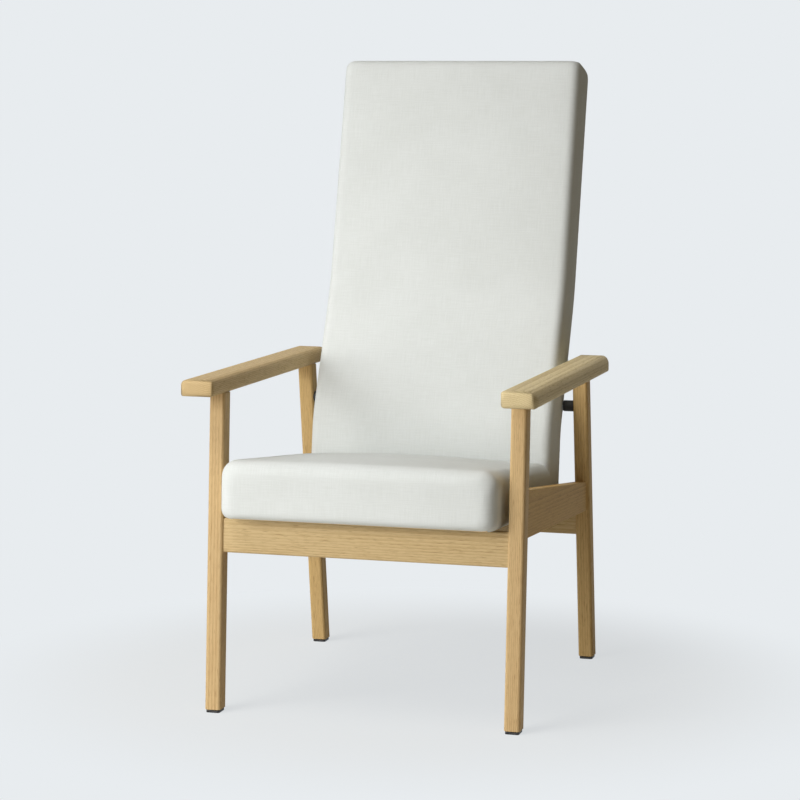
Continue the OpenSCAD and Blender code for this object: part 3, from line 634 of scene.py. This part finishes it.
# Seat stitches
# Lockstitch in bonded polyester thread, 0.8 mm thick and one stitch every 5 mm, down in each seam.
thread, tree, shader = finish_named("bonded_polyester_thread")
where = add(tree, "ShaderNodeTexCoord").outputs["Object"]
twist = add(tree, "ShaderNodeTexNoise", inputs={"Vector": where, "Scale": 1500, "Detail": 2}).outputs[0]
tree.links.new(ramp(tree, twist, [(0.35, "#cfd0cb"), (0.7, "#dcddd9")]), shader.inputs["Base Color"])
shader.inputs["Roughness"].default_value = 0.6
shader.inputs["Sheen Weight"].default_value = 0.15
stitch_row = repeat("stitch_row", (
    "GeometryNodeMeshUVSphere", None, {"Segments": 6, "Rings": 5, "Radius": 0.5}))
stitch_sizes = {"Pitch": 5 * MM, "Length": 4.2 * MM, "Width": 0.8 * MM, "Height": 0.8 * MM}
stitch_lift = 0.1 * MM
paths, outwards = on_cover(seat_cushion, seat_seams, stitch_lift)
seat_stitches = row_along("seat_stitches", stitch_row, paths, outwards, stitch_sizes, thread)
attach(seat_stitches, "seat")

# Dust cover
# Thin black spun cloth under the board, hemmed and stapled all round every 45 mm. It keeps dust
# and fluff out of the foam. Its staples are galvanised wire, 10 mm across.
spunbond, tree, shader = finish_named("spunbond_polypropylene")
where = add(tree, "ShaderNodeTexCoord").outputs["Object"]
dots = add(tree, "ShaderNodeTexVoronoi", inputs={"Vector": where, "Scale": 600})
tree.links.new(ramp(tree, dots.outputs["Distance"], [(0.2, "#1d1d1e"), (0.5, "#2c2c2d")]),
               shader.inputs["Base Color"])
shader.inputs["Roughness"].default_value = 0.85
tree.links.new(add(tree, "ShaderNodeBump", inputs={
    "Height": dots.outputs["Distance"], "Strength": 0.5, "Distance": 0.1 * MM}).outputs[0],
    shader.inputs["Normal"])
sheet_half, sheet_front, sheet_back = 211 * MM, -3.6 * MM, 391.8 * MM
sheet_low, sheet_t, sheet_up = 364.5 * MM, 0.25 * MM, 0.15 * MM
hem, hem_drop = 12 * MM, 0.1 * MM
slack_rise, slack_edge, slack_across, slack_along = 0.12 * MM, 30 * MM, 61, 47
cells = 56
grid = bpy.data.meshes.new("dust_cover")
spots, faces = [], []
for j in range(cells + 1):
    for i in range(cells + 1):
        x = sheet_half * (2 * i / cells - 1)
        u = sheet_front + (sheet_back - sheet_front) * j / cells
        edge = min(sheet_half - abs(x), u - sheet_front, sheet_back - u)
        slack = slack_rise * math.sin(x * slack_across) * math.sin(u * slack_along + 1)
        slack *= min(1, edge / slack_edge)
        spots.append(on_seat(x, u, sheet_low + sheet_up + slack - hem_drop * (edge < hem)))
for j in range(cells):
    for i in range(cells):
        k = j * (cells + 1) + i
        faces.append((k, k + cells + 1, k + cells + 2, k + 1))
grid.from_pydata(spots, [], faces)
dust_cover = placed("dust_cover", grid)
wall = dust_cover.modifiers.new("cloth", "SOLIDIFY")
wall.thickness = sheet_t
wall.offset = 0
peg_r, peg_hole, cut = 5 * MM, 6.5 * MM, 3 * MM
peg_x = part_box("seat_pegs")[1].x - peg_r
cutters = []
for x, u in ((-peg_x, 90.06 * MM), (peg_x, 90.06 * MM), (-peg_x, 370.06 * MM), (peg_x, 370.06 * MM)):
    ring = [(x + peg_hole * math.cos(turn), u + peg_hole * math.sin(turn))
            for turn in np.linspace(0, 2 * math.pi, 24, endpoint=False)]
    cutters.append(closed_skin("peg_hole", [
        [on_seat(x, u, sheet_low + w) for x, u in ring] for w in (-cut, cut)]))
    hole = dust_cover.modifiers.new("peg hole", "BOOLEAN")
    hole.object = cutters[-1]
applied(dust_cover)
for cutter in cutters:
    bpy.data.objects.remove(cutter)
dust_cover.data.materials.append(spunbond)
for face in dust_cover.data.polygons:
    face.use_smooth = True
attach(dust_cover, "seat")
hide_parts("seat_dust_cover")

wire, tree, shader = finish_named("galvanised_staple_wire")
where = add(tree, "ShaderNodeTexCoord").outputs["Object"]
spangle = add(tree, "ShaderNodeTexNoise", inputs={"Vector": where, "Scale": 900}).outputs[0]
tree.links.new(ramp(tree, spangle, [(0.3, "#c9ccce"), (0.7, "#aeb2b5")]), shader.inputs["Base Color"])
shader.inputs["Roughness"].default_value = 0.4
shader.inputs["Metallic"].default_value = 1
inside, wire_drop = 6 * MM, 0.08 * MM
outline = [on_seat(x, u, sheet_low - wire_drop) for x, u in (
    (inside - sheet_half, sheet_front + inside), (sheet_half - inside, sheet_front + inside),
    (sheet_half - inside, sheet_back - inside), (inside - sheet_half, sheet_back - inside))]
down = -(on_seat(0, 0, 1) - on_seat(0, 0, 0))
rim = evenly(outline, 3 * MM, closed=True)
staple_row = repeat("staple_row", ("GeometryNodeMeshCube", None, {"Size": (1, 1, 1)}))
staple_sizes = {"Pitch": 45 * MM, "Length": 10 * MM, "Width": 1 * MM, "Height": 0.35 * MM}
staples = row_along("dust_cover_staples", staple_row, [rim], [np.tile(down, (len(rim), 1))],
                    staple_sizes, wire, closed=True)
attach(staples, "seat")

# Back's inner frame
# Planed pine stiles and rails that carry the bent plywood panel. All of it is inside the cover.
pine, tree, shader = finish_named("planed_pine")
where = add(tree, "ShaderNodeTexCoord").outputs["Object"]
run = add(tree, "ShaderNodeMapping", inputs={"Vector": where, "Scale": (1, 1, 0.1)}).outputs[0]
lines = add(tree, "ShaderNodeTexNoise", inputs={"Vector": run, "Scale": 250, "Detail": 3}).outputs[0]
tree.links.new(ramp(tree, lines, [(0.35, "#e3c896"), (0.7, "#cfa768")]), shader.inputs["Base Color"])
shader.inputs["Roughness"].default_value = 0.65
for node in ("back_stile_left", "back_stile_right", "back_top_rail", "back_lumbar_rail",
             "back_bottom_rail"):
    finish(node, pine)

# Back cushion
# Foam over the bent panel, wrapped in the same cloth. It bends at the lumbar and at the shoulders,
# its front edges are rounded wide, and its rear is a flat panel sewn in along a plain seam.
back_low_y, back_low_z, back_length = 454.02 * MM, 344.96 * MM, 909.6 * MM
back_half, back_thick = 249.8 * MM, 95.8 * MM
back_end_r, back_front_r, back_rear_r = 22 * MM, 20 * MM, 8 * MM
back_crown, back_belly = 6 * MM, 2 * MM
bend_low, bend_high, bend_run = 160 * MM, 443 * MM, 90 * MM
lean_low, lean_mid, lean_top = 7.5, 24.5, 14


def eased(t):
    t = min(max(t, 0), 1)
    return t * t * (3 - 2 * t)


def lean_at(s):
    return math.radians(
        lean_low + (lean_mid - lean_low) * eased((s - bend_low + bend_run / 2) / bend_run)
        + (lean_top - lean_mid) * eased((s - bend_high + bend_run / 2) / bend_run))


spine = [(back_low_y, back_low_z)]
spine_cuts = 300
spine_step = back_length / spine_cuts
for i in range(spine_cuts):
    lean = lean_at((i + 0.5) * spine_step)
    spine.append((spine[-1][0] + spine_step * math.sin(lean), spine[-1][1] + spine_step * math.cos(lean)))


def on_back(x, s, depth):
    """A point of the chair from its place across, up along and behind the back's front face."""
    place = min(max(s / spine_step, 0), spine_cuts - 0.001)
    i, t = int(place), place - int(place)
    lean = lean_at(s)
    y = spine[i][0] * (1 - t) + spine[i + 1][0] * t + depth * math.cos(lean)
    z = spine[i][1] * (1 - t) + spine[i + 1][1] * t - depth * math.sin(lean)
    return Vector((x, y - floor_to_middle, z))


back_rings = []
for s in stations(back_length, back_end_r, back_end_r, 60):
    e = rounding(s / back_end_r, back_end_r) + rounding((back_length - s) / back_end_r, back_end_r)
    swell = 1 - (2 * s / back_length - 1) ** 4
    ring = padded_ring(back_half - back_belly - 0.45 * e, e - back_thick, -e,
                       back_rear_r, back_front_r, back_crown * swell, back_belly * swell)
    back_rings.append([on_back(x, s, -d) for x, d in ring])
back_cushion = even_cover("back_cushion", closed_skin("back_form", back_rings), 6 * MM)

# The rear panel's seam runs round it, 12 mm inside its side edges and 26 mm inside its ends
panel_in, panel_ends_in, panel_r = 12 * MM, 26 * MM, 24 * MM
across, low_s, high_s = back_half - panel_in, panel_ends_in, back_length - panel_ends_in
corner_path = (arc(across - panel_r, high_s - panel_r, panel_r, 0)
               + arc(panel_r - across, high_s - panel_r, panel_r, 90)
               + arc(panel_r - across, low_s + panel_r, panel_r, 180)
               + arc(across - panel_r, low_s + panel_r, panel_r, 270))
bent_path, path_step = [], 6 * MM
for (x0, s0), (x1, s1) in zip(corner_path, corner_path[1:] + corner_path[:1]):
    cuts = max(1, round(math.hypot(x1 - x0, s1 - s0) / path_step))
    bent_path += [on_back(x0 + (x1 - x0) * k / cuts, s0 + (s1 - s0) * k / cuts, back_thick)
                  for k in range(cuts)]
panel_seam = evenly(bent_path, seam_step, closed=True)

front_line = KDTree(len(spine))
for i, (y, z) in enumerate(spine):
    front_line.insert((0, y - floor_to_middle, z), i)
front_line.balance()


def over_stiles(points, free=80 * MM, fading=10 * MM):
    """The cloth is stapled to the stiles behind, so the rear panel stays flat."""
    depth = np.array([front_line.find((0, p[1], p[2]))[2] for p in points])
    return np.clip((depth - free) / fading, 0, 1)


stuff(back_cushion, 3 * MM, over_stiles, over_stiles)
sew(back_cushion, [panel_seam], depth=1.6 * MM, width=3 * MM, pucker=0.25 * MM)
lay_weave(back_cushion)
back_cushion.data.materials.append(cover_cloth)
for face in back_cushion.data.polygons:
    face.use_smooth = True
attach(back_cushion, "back")
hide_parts("back_cover", "back_foam")

# Back stitches
# The same thread as on the seat, one stitch every 5 mm round the rear panel.
paths, outwards = on_cover(back_cushion, [panel_seam], stitch_lift)
back_stitches = row_along("back_stitches", stitch_row, paths, outwards, stitch_sizes, thread, closed=True)
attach(back_stitches, "back")

# Pivot fittings
# Zinc-plated steel inserts and bolts, with black nylon spacer bushes between back and legs.
zinc, tree, shader = finish_named("zinc_plated_steel")
where = add(tree, "ShaderNodeTexCoord").outputs["Object"]
bloom = add(tree, "ShaderNodeTexNoise", inputs={"Vector": where, "Scale": 300, "Detail": 2}).outputs[0]
tree.links.new(ramp(tree, bloom, [(0.3, "#c3c6c9"), (0.7, "#a9adb2")]), shader.inputs["Base Color"])
tree.links.new(add(tree, "ShaderNodeMapRange", inputs={
    "Value": bloom, "To Min": 0.25, "To Max": 0.42}).outputs[0], shader.inputs["Roughness"])
shader.inputs["Metallic"].default_value = 1
nylon_ease = 0.6 * MM
for side in ("left", "right"):
    for node in ("pivot_insert_", "pivot_bolt_", "guide_pin_"):
        finish(node + side, zinc)
        ease_edges(node + side, 0)
    for node in ("pivot_bush_", "guide_sleeve_"):
        finish(node + side, polyamide)
        ease_edges(node + side, nylon_ease)

# Studio
# A pale seamless floor that runs up into the backdrop, one large soft light from the front left,
# a weaker one overhead and a weak even fill. None of it belongs to the chair.
backdrop, floor_half = "#e8ecef", 9
ground = bpy.data.meshes.new("floor")
ground.from_pydata([(-floor_half, -floor_half, 0), (floor_half, -floor_half, 0),
                    (floor_half, floor_half, 0), (-floor_half, floor_half, 0)], [], [(0, 1, 2, 3)])
floor = placed("floor", ground)
paper, tree, shader = finish_named("matt_paper_sweep")
shader.inputs["Base Color"].default_value = colour("#ecebe7")
shader.inputs["Roughness"].default_value = 1
shader.inputs["Specular IOR Level"].default_value = 0


def behind_rays(tree):
    """1 for the rays that see the backdrop as it is: from the camera, mirrored or through glass."""
    rays = add(tree, "ShaderNodeLightPath")
    seen = add(tree, "ShaderNodeMath", {"operation": "MAXIMUM"}, {
        0: rays.outputs["Is Camera Ray"], 1: rays.outputs["Is Glossy Ray"]})
    return add(tree, "ShaderNodeMath", {"operation": "MAXIMUM"}, {
        0: seen.outputs[0], 1: rays.outputs["Is Transmission Ray"]}).outputs[0]


# The paper turns into the plain backdrop between these two distances from the chair's middle
paper_to, backdrop_from, least_backdrop = 0.45, 0.95, 0.78
where = add(tree, "ShaderNodeTexCoord").outputs["Object"]
far = add(tree, "ShaderNodeVectorMath", {"operation": "LENGTH"}, {0: where}).outputs["Value"]
fade = add(tree, "ShaderNodeMapRange", {"interpolation_type": "SMOOTHSTEP"}, {
    "Value": far, "From Min": paper_to, "From Max": backdrop_from, "To Min": least_backdrop})
share = add(tree, "ShaderNodeMath", {"operation": "MULTIPLY"}, {0: behind_rays(tree), 1: fade.outputs[0]})
glow = add(tree, "ShaderNodeEmission", inputs={"Color": colour(backdrop), "Strength": 1})
mixed = add(tree, "ShaderNodeMixShader", inputs={
    0: share.outputs[0], 1: shader.outputs[0], 2: glow.outputs[0]})
tree.links.new(mixed.outputs[0], tree.nodes["Material Output"].inputs["Surface"])
ground.materials.append(paper)

world = bpy.data.worlds.new("studio")
bpy.context.scene.world = world
world.use_nodes = True
tree = world.node_tree
tree.nodes.clear()
fill = add(tree, "ShaderNodeBackground", inputs={"Color": colour("#f1e0c0"), "Strength": 0.15})
shown = add(tree, "ShaderNodeBackground", inputs={"Color": colour(backdrop), "Strength": 1})
mixed = add(tree, "ShaderNodeMixShader", inputs={
    0: behind_rays(tree), 1: fill.outputs[0], 2: shown.outputs[0]})
add(tree, "ShaderNodeOutputWorld", inputs={"Surface": mixed.outputs[0]})


def soft_light(name, place, aim, size, power, spread):
    lamp = bpy.data.lights.new(name, "AREA")
    lamp.size = size
    lamp.energy = power
    lamp.spread = math.radians(spread)
    light = bpy.data.objects.new(name, lamp)
    light.location = place
    light.visible_camera = False
    light.rotation_euler = (Vector(aim) - Vector(place)).to_track_quat("-Z", "Y").to_euler()
    bpy.context.scene.collection.objects.link(light)


soft_light("key", (-2.5, -3.6, 1.4), (0, 0, 0), 2.4, 50, 100)
soft_light("overhead", (-0.7, -1.0, 2.6), (0, -0.1, 0.45), 1.6, 6, 70)
bpy.context.scene.view_settings.view_transform = "Standard"
